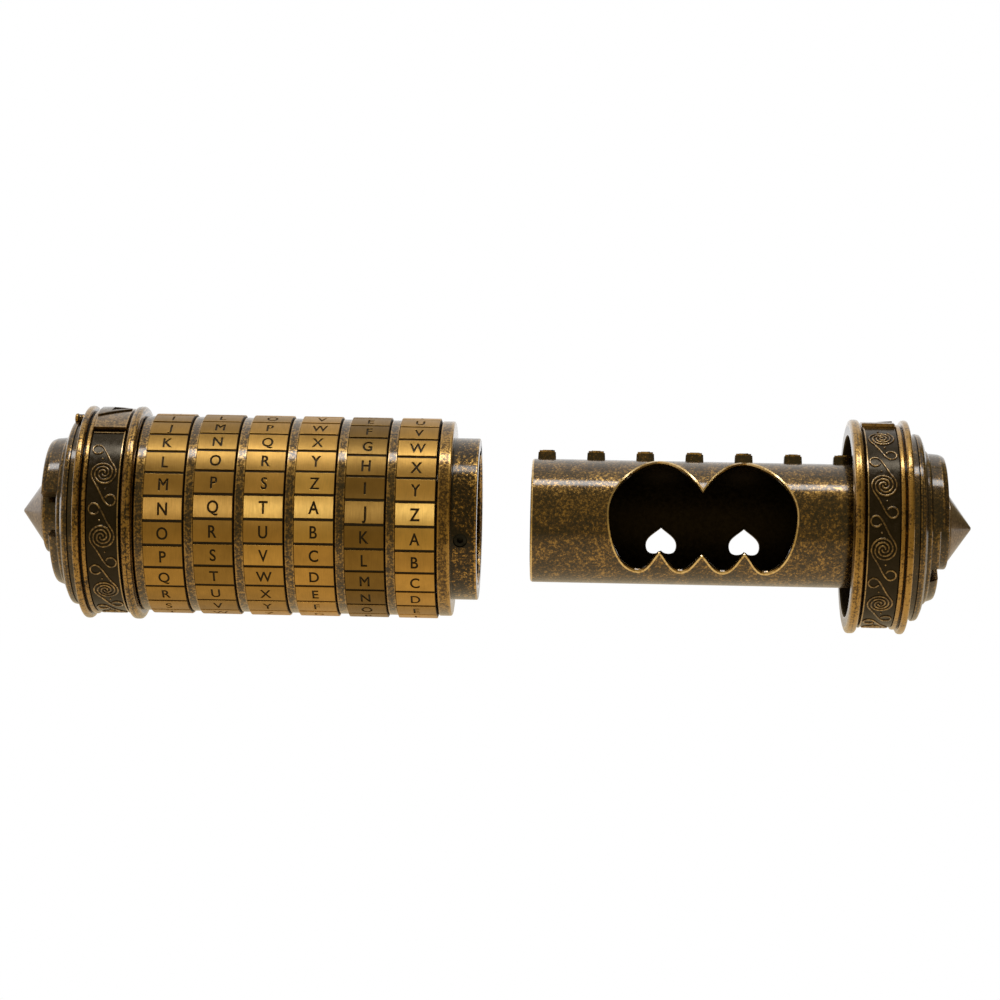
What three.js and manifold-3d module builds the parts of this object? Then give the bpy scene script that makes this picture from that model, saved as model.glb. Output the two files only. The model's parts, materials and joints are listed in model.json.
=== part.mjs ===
// A cryptex: a lettered barrel that locks a slotted vault tube, laid out open.
// The axis runs along X. The barrel with its six rings is at the left and the
// vault is drawn out to the right. Millimetres, +Z up, resting on the cap rims.
import * as THREE from "three";
import { mergeVertices } from "three/addons/utils/BufferGeometryUtils.js";
import Module from "manifold-3d";

const wasm = await Module();
wasm.setup();

// ---- driving dimensions ----
const RIM_R = 25; // widest radius, over the rounded rims of the two caps
const RIM_FACETS = 36;
const RIM_FLAT = Math.cos(Math.PI / RIM_FACETS); // flat to corner ratio of a rim
const CAP_LENGTH = 29.1; // from skirt edge to the tip of the cone
const RING_COUNT = 6;
const RING_PITCH = 11.56;
const LETTERS = 26;
const LETTER_R = 23.6; // corner radius of the lettered ring
const FLANGE_R = 22.9;
const FLANGE_W = 2.35;
const END_GAP = 0.2; // between a ring and the piece beside it
const COLLAR_R = 19;
const COLLAR_W = 5.9;
const COLLAR_FLANGE_W = 3;
const TUBE_R = 14.5;
const TUBE_WALL = 1.4;
const TUBE_LENGTH = 73.7; // from the skirt edge of the right cap to the open end
const LUG_TOP_R = 16.7;
const LUG_LENGTH = 4.1;
const LUG_WIDTH = 3.4;
const LUG_COUNT = 7;
const LUG_INSET = 0.95; // last lug's centre to the skirt edge
const PULL = 91.8; // how far the vault is drawn out
const SLEEVE_R = 15.6;
const SLEEVE_BORE_R = 14.85;
const SLOT_W = 4.4;

// Angles about the axis: 0 faces -Y (the front), 90 faces up.
const LEFT_INDEX = 77.5;
const RIGHT_INDEX = 103.5;
const LUG_ANGLE = 100;
const WINDOW_ANGLE = 17;
const SMALL_HEART_ANGLE = 199.7;
const SCREW_ANGLE = -15;
const FRONT_LETTER_ANGLES = [2.9, 4.6, 4.8, 5.2, 2.9, 2.3];

// ---- places along the axis, from the skirt edge of the left cap ----
const COLLAR_START = END_GAP + RING_COUNT * RING_PITCH + END_GAP;
const COLLAR_SHOULDER = COLLAR_START + COLLAR_FLANGE_W;
const COLLAR_END = COLLAR_SHOULDER + COLLAR_W;
const RIGHT_SKIRT = COLLAR_SHOULDER + PULL;
const MIDDLE = RIGHT_SKIRT / 2;
const AXIS_HEIGHT = RIM_R * RIM_FLAT;

const rad = THREE.MathUtils.degToRad;

// ---- finishes ----
const finish = (color, roughness, metalness = 1) =>
  new THREE.MeshStandardMaterial({ color, roughness, metalness });
const ANTIQUE = finish(0x5a4423, 0.42);
const WORN_GOLD = finish(0xa98745, 0.35);
const DARK = finish(0x1d1811, 0.5);
const SATIN = finish(0x7b6a52, 0.4);
const STEEL = finish(0x2a2a2a, 0.4);

// ---- helpers ----

// A geometry as a manifold solid, with its shared corners merged.
function solid(geometry) {
  const bare = geometry.index ? geometry.toNonIndexed() : geometry.clone();
  bare.deleteAttribute("normal");
  bare.deleteAttribute("uv");
  const merged = mergeVertices(bare, 1e-4);
  const corners = [];
  const index = merged.index.array;
  for (let i = 0; i < index.length; i += 3) {
    const [a, b, c] = [index[i], index[i + 1], index[i + 2]];
    if (a !== b && b !== c && c !== a) corners.push(a, b, c);
  }
  return new wasm.Manifold(
    new wasm.Mesh({
      numProp: 3,
      vertProperties: merged.attributes.position.array,
      triVerts: new Uint32Array(corners),
    }),
  );
}

// A manifold solid back as a geometry.
function geometryOf(made) {
  const mesh = made.getMesh();
  const geometry = new THREE.BufferGeometry();
  geometry.setAttribute(
    "position",
    new THREE.BufferAttribute(new Float32Array(mesh.vertProperties), 3),
  );
  geometry.setIndex(new THREE.BufferAttribute(new Uint32Array(mesh.triVerts), 1));
  geometry.computeVertexNormals();
  return geometry;
}

// A body of revolution about X. The profile holds [along the axis, radius] pairs
// and is closed. One facet of the body has its middle at the given angle.
function turned(profile, facets, facetAngle = -90) {
  let area = 0;
  profile.forEach(([x, r], i) => {
    const [nextX, nextR] = profile[(i + 1) % profile.length];
    area += x * nextR - nextX * r;
  });
  const points = profile.map(([x, r]) => new THREE.Vector2(r, x));
  if (area > 0) points.reverse();
  const onAxis = points.some((p) => p.x === 0);
  if (!onAxis) points.push(points[0].clone());
  const start = rad(90 - facetAngle) + Math.PI / facets;
  const geometry = new THREE.LatheGeometry(points, facets, start);
  geometry.rotateZ(-Math.PI / 2);
  return geometry;
}

// Turns a geometry made at the front, facing -Y, to an angle about the axis.
const toAngle = (geometry, angle) => geometry.rotateX(-rad(angle));

// A block at the front: from one radius to another, wide across, centred at x.
function block(x, length, innerR, outerR, width, angle) {
  const geometry = new THREE.BoxGeometry(length, outerR - innerR, width);
  geometry.translate(x, -(innerR + outerR) / 2, 0);
  return toAngle(geometry, angle);
}

// A sector of a flat ring about X, from one angle up to another.
function sector(x, length, innerR, outerR, from, to, steps) {
  const shape = new THREE.Shape();
  const start = rad(from);
  const end = rad(to);
  shape.absarc(0, 0, outerR, start, end, false);
  shape.absarc(0, 0, innerR, end, start, true);
  const geometry = new THREE.ExtrudeGeometry(shape, {
    depth: length,
    bevelEnabled: false,
    curveSegments: steps,
  });
  // The shape's X becomes the front, its Y becomes up, and the depth runs along X.
  const basis = new THREE.Matrix4().makeBasis(
    new THREE.Vector3(0, -1, 0),
    new THREE.Vector3(0, 0, 1),
    new THREE.Vector3(-1, 0, 0),
  );
  geometry.applyMatrix4(basis);
  geometry.translate(x + length, 0, 0);
  return geometry;
}

// A prism whose outline lies across a direction about the axis and which runs
// out from the axis in that direction. The outline's X is the part's X.
function radialPrism(shape, x, innerR, outerR, angle, steps = 8) {
  const geometry = new THREE.ExtrudeGeometry(shape, {
    depth: outerR - innerR,
    bevelEnabled: false,
    curveSegments: steps,
  });
  geometry.rotateX(Math.PI / 2);
  geometry.translate(x, -innerR, 0);
  return toAngle(geometry, angle);
}

function radialCylinder(x, radius, innerR, outerR, angle, facets) {
  const length = outerR - innerR;
  const geometry = new THREE.CylinderGeometry(radius, radius, length, facets);
  geometry.translate(x, -(innerR + outerR) / 2, 0);
  return toAngle(geometry, angle);
}

const object = new THREE.Group();
object.name = "cryptex";
object.position.set(-MIDDLE, 0, AXIS_HEIGHT);

function piece(name, shape, material, parent = object) {
  const geometry = shape.isBufferGeometry ? shape : geometryOf(shape);
  const mesh = new THREE.Mesh(geometry, material);
  mesh.name = name;
  parent.add(mesh);
  return mesh;
}

// ---- caps ----
// A cap is drawn with its skirt edge at x = 0 and its cone pointing along +X.
const SKIRT_BORE_R = 21.2;
const WEB_INNER = 12; // from the skirt edge to the web inside the cap
const SEAT_DEPTH = 1.3; // recess in the web that holds the tube or sleeve
const STUD_R = 2;
const STUD_CLEARANCE = 0.3;
const BAND_START = 3;
const BAND_END = 10.7;
const BAND_FLOOR_R = 22.8;
const DRUM_R = 9.7;
const DRUM_TOP = 23.4;
const CONE_R = 7.9;
const LOW_TOP = 20.5;
const TALL_TOP = 22.4;
const FACE = 18.6; // outer face between the drum and the steps
const FACE_SINK = 0.3; // how far the raised sectors reach into that face
const PIN_R = 1.1;
const PIN_CENTRE_R = 22.3;
const PIN_START = 12.6;
// The raised sectors round the drum, as angles from the index plate.
const TALL_SECTOR = [-106, 62.5];
const LOW_SECTORS = [
  [-137, -106],
  [97.5, 211],
];

function capCasting(seatR, indexAngle, pinned) {
  const hole = STUD_R + STUD_CLEARANCE;
  const body = turned(
    [
      [0.6, SKIRT_BORE_R],
      [WEB_INNER, SKIRT_BORE_R],
      [WEB_INNER, seatR],
      [WEB_INNER + SEAT_DEPTH, seatR],
      [WEB_INNER + SEAT_DEPTH, hole],
      [DRUM_TOP, hole],
      [DRUM_TOP, DRUM_R - 1],
      [DRUM_TOP - 0.6, DRUM_R],
      [FACE, DRUM_R],
      [FACE, 17.6],
      [17.2, 18],
      [17.2, 20.6],
      [16.4, 21.5],
      [13.8, 21.8],
      [13.8, 23.6],
      [13.6, 24.5],
      [13.2, RIM_R],
      [12.6, RIM_R],
      [12.2, 24.3],
      [12, 23.9],
      [BAND_END, 23.9],
      [BAND_END, BAND_FLOOR_R],
      [BAND_START, BAND_FLOOR_R],
      [BAND_START, 24],
      [2.4, RIM_R],
      [0.8, RIM_R],
      [0, 24.1],
      [0, SKIRT_BORE_R + 0.6],
    ],
    RIM_FACETS,
  );
  let made = solid(body);
  const lower = (from, to, top, outerR) =>
    solid(
      sector(
        FACE - FACE_SINK,
        top - FACE + FACE_SINK,
        DRUM_R + 3.5,
        outerR,
        indexAngle + from,
        indexAngle + to,
        12,
      ),
    );
  made = made.add(lower(...TALL_SECTOR, TALL_TOP, 17.2));
  for (const [from, to] of LOW_SECTORS) made = made.add(lower(from, to, LOW_TOP, 17));
  if (pinned) {
    const bore = new THREE.CylinderGeometry(PIN_R + 0.25, PIN_R + 0.25, 8, 12);
    bore.rotateZ(Math.PI / 2);
    bore.translate(PIN_START - 0.2 + 4, -PIN_CENTRE_R, 0);
    made = made.subtract(solid(toAngle(bore, indexAngle)));
  }
  return made;
}

function cone() {
  return turned(
    [
      [15, 0],
      [15, STUD_R],
      [DRUM_TOP + 0.2, STUD_R],
      [DRUM_TOP + 0.2, CONE_R],
      [CAP_LENGTH - 0.4, 0.9],
      [CAP_LENGTH, 0],
    ],
    24,
  );
}

const PLATE_HALF_ANGLE = 23.5;
const STRIP_INNER_R = BAND_FLOOR_R + 0.25;
const STRIP_OUTER_R = 23.6;
const PLATE_OUTER_R = 24.5;
const BAND_GAP = 0.2;
const BAND_WIDTH = BAND_END - BAND_START - 2 * BAND_GAP;

function scrollStrip(indexAngle) {
  const from = indexAngle + PLATE_HALF_ANGLE + 1;
  const to = indexAngle + 360 - PLATE_HALF_ANGLE - 1;
  const x = BAND_START + BAND_GAP;
  return sector(x, BAND_WIDTH, STRIP_INNER_R, STRIP_OUTER_R, from, to, 40);
}

// The plate with its raised arrow, which points at the skirt edge.
function indexPlate(indexAngle) {
  const plate = sector(
    BAND_START + BAND_GAP,
    BAND_WIDTH,
    STRIP_INNER_R,
    PLATE_OUTER_R,
    indexAngle - PLATE_HALF_ANGLE,
    indexAngle + PLATE_HALF_ANGLE,
    10,
  );
  const arrow = new THREE.Shape();
  arrow.moveTo(-3.3, 0);
  arrow.lineTo(3.3, -3.4);
  arrow.lineTo(3.3, 3.4);
  arrow.closePath();
  const middle = (BAND_START + BAND_END) / 2;
  const raised = radialPrism(arrow, middle, STRIP_INNER_R + 0.6, 24.85, indexAngle);
  return solid(plate).add(solid(raised));
}

// The left cap is the same casting turned to face the other way.
function capSet(side, indexAngle, seatR, parent) {
  const flipped = side === "left";
  const angle = flipped ? 180 - indexAngle : indexAngle;
  piece(`${side}_cap`, capCasting(seatR, angle, flipped), ANTIQUE, parent);
  piece(`${side}_cone`, cone(), SATIN, parent);
  piece(`${side}_scroll_band`, scrollStrip(angle), DARK, parent);
  piece(`${side}_index_plate`, indexPlate(angle), WORN_GOLD, parent);
  if (flipped) {
    const pin = turned(
      [
        [PIN_START, 0],
        [PIN_START, PIN_R],
        [16.2, PIN_R],
        [16.6, 0.7],
        [16.8, 0],
      ],
      12,
    );
    pin.translate(0, -PIN_CENTRE_R, 0);
    piece(`${side}_index_pin`, toAngle(pin, angle), DARK, parent);
  }
}

const leftCapGroup = new THREE.Group();
leftCapGroup.rotation.z = Math.PI;
object.add(leftCapGroup);
capSet("left", LEFT_INDEX, SLEEVE_R + 0.3, leftCapGroup);

const vault = new THREE.Group();
vault.position.x = RIGHT_SKIRT;
object.add(vault);
capSet("right", RIGHT_INDEX, TUBE_R + 0.3, vault);

// ---- sleeve: the slotted inner tube of the barrel ----
function sleeve() {
  const from = -(WEB_INNER + SEAT_DEPTH - 0.3);
  const to = COLLAR_END - 0.3;
  const tube = turned(
    [
      [from, SLEEVE_BORE_R],
      [from, SLEEVE_R],
      [to, SLEEVE_R],
      [to, SLEEVE_BORE_R],
    ],
    RIM_FACETS,
  );
  const slotFrom = -0.8;
  const slotLength = COLLAR_END + 2 - slotFrom;
  const slot = block(slotFrom + slotLength / 2, slotLength, 12, 18, SLOT_W, LUG_ANGLE);
  return solid(tube).subtract(solid(slot));
}
piece("slotted_sleeve", sleeve(), ANTIQUE);

// ---- rings ----
// A code ring runs on the sleeve. The lug of a closed vault stands in the groove at
// its left, and its lip holds the lug there unless the notch is turned to the lug.
const GROOVE_W = 4.75;
const GROOVE_R = 17.25;
const LIP_R = 15.9;
const HUB_R = 19.6;
const LETTER_BORE_R = 20;
const RING_END = RING_PITCH - END_GAP;

function codeRing(facetAngle) {
  const body = turned(
    [
      [0, GROOVE_R],
      [0, FLANGE_R - 0.3],
      [0.3, FLANGE_R],
      [FLANGE_W - 0.15, FLANGE_R],
      [FLANGE_W - 0.15, HUB_R],
      [RING_END, HUB_R],
      [RING_END, LIP_R],
      [GROOVE_W, LIP_R],
      [GROOVE_W, GROOVE_R],
    ],
    LETTERS,
    facetAngle,
  );
  const length = RING_PITCH;
  const notch = block(GROOVE_W + length / 2 - 0.5, length, 14, 17.2, SLOT_W, LUG_ANGLE);
  return solid(body).subtract(solid(notch));
}

function letterRing(facetAngle) {
  const start = FLANGE_W + 0.15;
  return turned(
    [
      [start, LETTER_BORE_R],
      [start, LETTER_R - 0.2],
      [start + 0.2, LETTER_R],
      [RING_END - 0.2, LETTER_R],
      [RING_END, LETTER_R - 0.2],
      [RING_END, LETTER_BORE_R],
    ],
    LETTERS,
    facetAngle,
  );
}

FRONT_LETTER_ANGLES.forEach((angle, i) => {
  const ring = new THREE.Group();
  ring.position.x = END_GAP + i * RING_PITCH;
  object.add(ring);
  piece(`code_ring_${i + 1}`, codeRing(angle), ANTIQUE, ring);
  piece(`letter_ring_${i + 1}`, letterRing(angle), WORN_GOLD, ring);
});

// ---- end collar: holds the rings on the sleeve ----
const SCREW_R = 1.5;
const SCREW_X = COLLAR_SHOULDER + 2.2;

function endCollar() {
  const boreR = SLEEVE_R + 0.3;
  const body = turned(
    [
      [COLLAR_START, boreR],
      [COLLAR_START, FLANGE_R - 0.3],
      [COLLAR_START + 0.3, FLANGE_R],
      [COLLAR_SHOULDER - 0.3, FLANGE_R],
      [COLLAR_SHOULDER, FLANGE_R - 0.3],
      [COLLAR_SHOULDER, COLLAR_R],
      [COLLAR_END - 0.3, COLLAR_R],
      [COLLAR_END, COLLAR_R - 0.3],
      [COLLAR_END, boreR],
    ],
    RIM_FACETS,
  );
  const middle = (COLLAR_START + COLLAR_END) / 2;
  const length = COLLAR_END - COLLAR_START + 4;
  const keyway = block(middle, length, 14, 17.3, SLOT_W, LUG_ANGLE);
  const hole = radialCylinder(SCREW_X, SCREW_R + 0.25, 14, 20, SCREW_ANGLE, 20);
  return solid(body).subtract(solid(keyway)).subtract(solid(hole));
}
piece("end_collar", endCollar(), ANTIQUE);

function grubScrew() {
  const shank = radialCylinder(SCREW_X, SCREW_R, 15.8, 18.6, SCREW_ANGLE, 20);
  const socket = radialCylinder(SCREW_X, 0.85, 17.1, 20, SCREW_ANGLE, 6);
  return solid(shank).subtract(solid(socket));
}
piece("collar_grub_screw", grubScrew(), STEEL);

// ---- vault tube with its windows ----
// Each heart points up, and its outline is drawn half at a time from the tip.
const HEART_SPACING = 9.9; // from the middle of the window to each heart's middle
const WINDOW_MIDDLE = -33.9; // from the skirt edge

function heart(halfWidth, tip, side, lobe, foot, cleft) {
  const shape = new THREE.Shape();
  shape.moveTo(0, tip);
  shape.bezierCurveTo(
    -halfWidth * 0.42,
    tip * 0.72 + side * 0.28,
    -halfWidth,
    tip * 0.4 + side * 0.6,
    -halfWidth,
    side,
  );
  shape.bezierCurveTo(
    -halfWidth,
    side * 0.5 + foot * 0.5,
    -lobe * 1.6,
    foot,
    -lobe,
    foot,
  );
  shape.bezierCurveTo(-lobe * 0.56, foot, -lobe * 0.22, cleft, 0, cleft);
  shape.bezierCurveTo(lobe * 0.22, cleft, lobe * 0.56, foot, lobe, foot);
  shape.bezierCurveTo(
    lobe * 1.6,
    foot,
    halfWidth,
    side * 0.5 + foot * 0.5,
    halfWidth,
    side,
  );
  shape.bezierCurveTo(
    halfWidth,
    tip * 0.4 + side * 0.6,
    halfWidth * 0.42,
    tip * 0.72 + side * 0.28,
    0,
    tip,
  );
  return shape;
}

// Heights are across the cutting direction, for points at these angles on the tube.
const across = (angle) => TUBE_R * Math.sin(rad(angle - WINDOW_ANGLE));
const largeHeart = heart(11.7, across(86), across(9), 5, across(-52), across(-28.5));
// The small hearts are drawn with the tip down, because the far wall turns them over.
const smallHeart = heart(3.65, -3.5, 0.6, 1.8, 3.5, 2.3);
const SMALL_HEART_SHIFT = 0.9;

function vaultTube() {
  const boreR = TUBE_R - TUBE_WALL;
  const end = WEB_INNER + SEAT_DEPTH - 0.3;
  const tube = turned(
    [
      [-TUBE_LENGTH, boreR + 0.2],
      [-TUBE_LENGTH, TUBE_R - 0.3],
      [-TUBE_LENGTH + 0.3, TUBE_R],
      [end, TUBE_R],
      [end, boreR],
      [-TUBE_LENGTH + 0.2, boreR],
    ],
    RIM_FACETS,
  );
  let made = solid(tube);
  for (const side of [-1, 1]) {
    const x = WINDOW_MIDDLE + side * HEART_SPACING;
    const window = radialPrism(largeHeart, x, 1, 20, WINDOW_ANGLE, 6);
    const farX = x + SMALL_HEART_SHIFT;
    const eye = radialPrism(smallHeart, farX, 8, 20, SMALL_HEART_ANGLE, 4);
    made = made.subtract(solid(window)).subtract(solid(eye));
  }
  return made;
}
piece("vault_tube", vaultTube(), ANTIQUE, vault);

function lug() {
  const rise = LUG_TOP_R - TUBE_R - 0.1;
  const half = LUG_LENGTH / 2;
  const side = new THREE.Shape();
  side.moveTo(-half, 0);
  side.lineTo(half, 0);
  side.lineTo(half, rise - 0.5);
  side.lineTo(half - 0.5, rise);
  side.lineTo(-half + 0.5, rise);
  side.lineTo(-half, rise - 0.5);
  side.closePath();
  const geometry = new THREE.ExtrudeGeometry(side, {
    depth: LUG_WIDTH,
    bevelEnabled: false,
  });
  geometry.translate(0, 0, -LUG_WIDTH / 2);
  // From standing up along +Y to standing out at the front, along -Y.
  geometry.rotateX(Math.PI);
  geometry.translate(0, -(TUBE_R + 0.1), 0);
  return toAngle(geometry, LUG_ANGLE);
}

for (let i = 0; i < LUG_COUNT; i += 1) {
  const made = piece(`vault_lug_${i + 1}`, lug(), ANTIQUE, vault);
  made.position.x = -LUG_INSET - (LUG_COUNT - 1 - i) * RING_PITCH;
}

export default object;
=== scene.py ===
"""An antique-bronze cryptex laid open: its lettered barrel at the left, and the vault
tube with the heart windows drawn out at the right.

Lengths are in millimetres in this script and become metres as a mesh is made. A place
round the axis is an angle in degrees: 0 faces the front (-Y) and 90 faces up.
"""

import json
import math
import random

import bmesh
import bpy
from mathutils import Matrix, Vector

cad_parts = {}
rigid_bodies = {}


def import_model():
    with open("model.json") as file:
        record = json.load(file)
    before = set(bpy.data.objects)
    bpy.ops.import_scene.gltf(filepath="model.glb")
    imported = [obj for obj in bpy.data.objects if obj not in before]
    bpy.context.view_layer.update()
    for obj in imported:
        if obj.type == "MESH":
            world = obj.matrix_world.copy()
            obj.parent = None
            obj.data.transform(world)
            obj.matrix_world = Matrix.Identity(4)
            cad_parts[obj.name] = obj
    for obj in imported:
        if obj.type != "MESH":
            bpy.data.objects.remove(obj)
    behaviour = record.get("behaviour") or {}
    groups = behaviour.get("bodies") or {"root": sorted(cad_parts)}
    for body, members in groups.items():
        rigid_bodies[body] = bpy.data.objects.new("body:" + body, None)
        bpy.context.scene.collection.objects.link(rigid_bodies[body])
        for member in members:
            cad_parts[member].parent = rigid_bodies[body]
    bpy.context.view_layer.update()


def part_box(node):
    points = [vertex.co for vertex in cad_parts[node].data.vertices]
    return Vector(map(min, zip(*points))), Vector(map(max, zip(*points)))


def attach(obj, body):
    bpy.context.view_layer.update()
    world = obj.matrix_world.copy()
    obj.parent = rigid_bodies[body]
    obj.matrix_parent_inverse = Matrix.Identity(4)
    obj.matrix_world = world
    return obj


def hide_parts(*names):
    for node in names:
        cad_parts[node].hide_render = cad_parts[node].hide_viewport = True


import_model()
random.seed(7)

MM = 0.001


def mm(length):
    return length / MM


def span(node):
    """Where a CAD node starts and ends along the axis, in millimetres."""
    low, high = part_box(node)
    return mm(low.x), mm(high.x)


# ---------------------------------------------------------------- places from the frame
AXIS_Z = mm((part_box("left_cap")[0].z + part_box("left_cap")[1].z) / 2)
LEFT_SKIRT = span("left_cap")[1]
RIGHT_SKIRT = span("right_cap")[0]
LEFT_TIP = span("left_cone")[0]
CAP_LENGTH = LEFT_SKIRT - LEFT_TIP
TUBE_START, TUBE_END = span("vault_tube")
SLEEVE_START, SLEEVE_END = span("slotted_sleeve")
COLLAR_START, COLLAR_END = span("end_collar")
RING_COUNT = 6
RING_STARTS = [span(f"code_ring_{i + 1}")[0] for i in range(RING_COUNT)]
RING_LENGTH = span("code_ring_1")[1] - span("code_ring_1")[0]

# ---------------------------------------------------------------- sizes
RIM_R = 25.0
FLANGE_R = 22.9
FLANGE_W = 2.25
LETTER_APOTHEM = 23.45
COLLAR_R = 19.0
COLLAR_FLANGE_W = 3.0
TUBE_R = 14.5
TUBE_WALL = 1.4
LUG_TOP_R = 16.7
LUG_WIDTH = 3.4
SLEEVE_R = 15.6
SLEEVE_BORE_R = 14.85
BARREL_BORE_R = 15.9  # of the code rings and the collar, round the sleeve
SLOT_W = 4.4
BAND_START = 3.0  # from the skirt edge
BAND_END = 10.6
BAND_FLOOR_R = 22.8
LETTERS = "ABCDEFGHIJKLMNOPQRSTUVWXYZ"
STEP = 360 / len(LETTERS)

# ---------------------------------------------------------------- angles about the axis
LUG_ANGLE = 100
LEFT_INDEX = 77.5
RIGHT_INDEX = 103.5
SCREW_ANGLE = -15
SMALL_HEART_ANGLE = 199.7
LEFT_SPIRAL = 22.5
RIGHT_SPIRAL = 60.0
FRONT_LETTERS = [("N", 2.9), ("Q", 4.6), ("T", 4.8), ("A", 5.2), ("J", 2.9), ("Z", 2.3)]


def point(x, r, angle):
    """A place in metres, from a place along the axis, a radius and an angle."""
    a = math.radians(angle)
    return Vector((x, -r * math.cos(a), AXIS_Z + r * math.sin(a))) * MM


# ================================================================ materials
def new_material(name):
    material = bpy.data.materials.new(name)
    material.use_nodes = True
    return material, material.node_tree.nodes, material.node_tree.links


def node(nodes, kind, **values):
    made = nodes.new(kind)
    for key, value in values.items():
        setattr(made, key, value)
    return made


def ramp(nodes, links, source, stops):
    made = nodes.new("ShaderNodeValToRGB")
    elements = made.color_ramp.elements
    while len(elements) < len(stops):
        elements.new(0.5)
    for element, (place, colour) in zip(elements, stops):
        element.position = place
        value = colour if isinstance(colour, tuple) else (colour,) * 3
        element.color = (*value, 1)
    links.new(source, made.inputs["Fac"])
    return made.outputs["Color"]


def noise(nodes, links, place, scale, detail=4.0, roughness=0.6, distortion=0.0):
    made = nodes.new("ShaderNodeTexNoise")
    made.inputs["Scale"].default_value = scale
    made.inputs["Detail"].default_value = detail
    made.inputs["Roughness"].default_value = roughness
    made.inputs["Distortion"].default_value = distortion
    links.new(place, made.inputs["Vector"])
    return made.outputs["Fac"]


def mix(nodes, links, factor, a, b, blend="MIX"):
    made = node(nodes, "ShaderNodeMix", data_type="RGBA", blend_type=blend)
    colours = [s for s in made.inputs if s.type == "RGBA"]
    for socket, value in zip([made.inputs["Factor"], *colours], [factor, a, b]):
        if isinstance(value, bpy.types.NodeSocket):
            links.new(value, socket)
        elif isinstance(value, tuple):
            socket.default_value = (*value, 1)
        else:
            socket.default_value = value
    return [s for s in made.outputs if s.type == "RGBA"][0]


def math_node(nodes, links, operation, a, b=0.0, clamp=False):
    made = node(nodes, "ShaderNodeMath", operation=operation, use_clamp=clamp)
    for socket, value in zip(made.inputs, (a, b)):
        if isinstance(value, bpy.types.NodeSocket):
            links.new(value, socket)
        else:
            socket.default_value = value
    return made.outputs["Value"]


def bump(nodes, links, height, strength, distance):
    made = nodes.new("ShaderNodeBump")
    made.inputs["Strength"].default_value = strength
    made.inputs["Distance"].default_value = distance
    links.new(height, made.inputs["Height"])
    return made.outputs["Normal"]


def attribute(nodes, name):
    return node(nodes, "ShaderNodeAttribute", attribute_name=name).outputs["Fac"]


def cast_bronze(
    name, dark, middle, bright, balance=0.5, blotch=1.0, rough=(0.42, 0.3), gloss=1.75
):
    """Antiqued casting under lacquer: dark patina mottled with gold, rubbed bright on
    its edges.

    The mesh attribute for wear is 0.5 on plain faces, 1 on rubbed edges and 0 in corners; on the
    key blocks it also holds a painted highlight on the top and painted shade on the sides.
    """
    material, nodes, links = new_material(name)
    shader = nodes["Principled BSDF"]
    shader.inputs["Metallic"].default_value = 1.0
    shader.inputs["Coat Weight"].default_value = 0.85
    shader.inputs["Coat Roughness"].default_value = 0.14
    shader.inputs["Coat IOR"].default_value = gloss
    place = node(nodes, "ShaderNodeTexCoord").outputs["Object"]
    coarse = noise(nodes, links, place, 1500 / blotch, 3.0, 0.6)
    fine = noise(nodes, links, place, 3600 / blotch, 2.0, 0.6)
    cloud = noise(nodes, links, place, 260, 2.0, 0.5)
    speck = math_node(nodes, links, "MULTIPLY", coarse, 0.5)
    speck = math_node(nodes, links, "ADD", speck, math_node(nodes, links, "MULTIPLY", fine, 0.28))
    speck = math_node(nodes, links, "ADD", speck, math_node(nodes, links, "MULTIPLY", cloud, 0.22))
    # The wear lifts or lowers the gold; on the key blocks it also holds a painted highlight and
    # painted shade.
    wear = attribute(nodes, "wear")
    lift = math_node(nodes, links, "SUBTRACT", wear, 0.5)
    rub_and_painted_light = math_node(nodes, links, "MULTIPLY", lift, 0.17)
    speck = math_node(nodes, links, "ADD", speck, rub_and_painted_light)
    colour = ramp(
        nodes,
        links,
        speck,
        [
            (balance - 0.06, dark),
            (balance + 0.03, middle),
            (balance + 0.10, bright),
        ],
    )
    links.new(colour, shader.inputs["Base Color"])
    polish = ramp(
        nodes,
        links,
        speck,
        [(balance - 0.06, rough[0]), (balance + 0.1, rough[1])],
    )
    links.new(polish, shader.inputs["Roughness"])
    normal = bump(nodes, links, speck, 0.35, 0.00006)
    links.new(normal, shader.inputs["Normal"])
    return material


def brushed_panel():
    """The letter panels: brushed brass, each panel toned on its own, with painted light
    brightening some rows and painted shade darkening others.
    """
    material, nodes, links = new_material("brushed_gold_panels")
    shader = nodes["Principled BSDF"]
    shader.inputs["Metallic"].default_value = 1.0
    place = node(nodes, "ShaderNodeTexCoord").outputs["Object"]
    stretch = nodes.new("ShaderNodeMapping")
    stretch.inputs["Scale"].default_value = (1.0, 0.055, 0.055)
    links.new(place, stretch.inputs["Vector"])
    brushed = noise(nodes, links, stretch.outputs["Vector"], 6500, 4.0, 0.65)
    broad = noise(nodes, links, place, 240, 3.0, 0.55)
    # Each panel's own tones, with the painted light and painted shade of its row folded in.
    tone = attribute(nodes, "tone")
    colour = ramp(
        nodes,
        links,
        tone,
        [
            (0.0, (0.20, 0.120, 0.034)),
            (0.35, (0.41, 0.245, 0.066)),
            (0.7, (0.66, 0.390, 0.108)),
            (1.0, (1.0, 0.65, 0.19)),
        ],
    )
    streak = ramp(nodes, links, brushed, [(0.3, 0.78), (0.7, 1.0)])
    colour = mix(nodes, links, 0.85, colour, streak, "MULTIPLY")
    patch = ramp(nodes, links, broad, [(0.35, 0.8), (0.65, 1.0)])
    colour = mix(nodes, links, 0.8, colour, patch, "MULTIPLY")
    links.new(colour, shader.inputs["Base Color"])
    polish = ramp(nodes, links, brushed, [(0.3, 0.38), (0.7, 0.32)])
    links.new(polish, shader.inputs["Roughness"])
    links.new(bump(nodes, links, brushed, 0.25, 0.00002), shader.inputs["Normal"])
    return material


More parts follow.
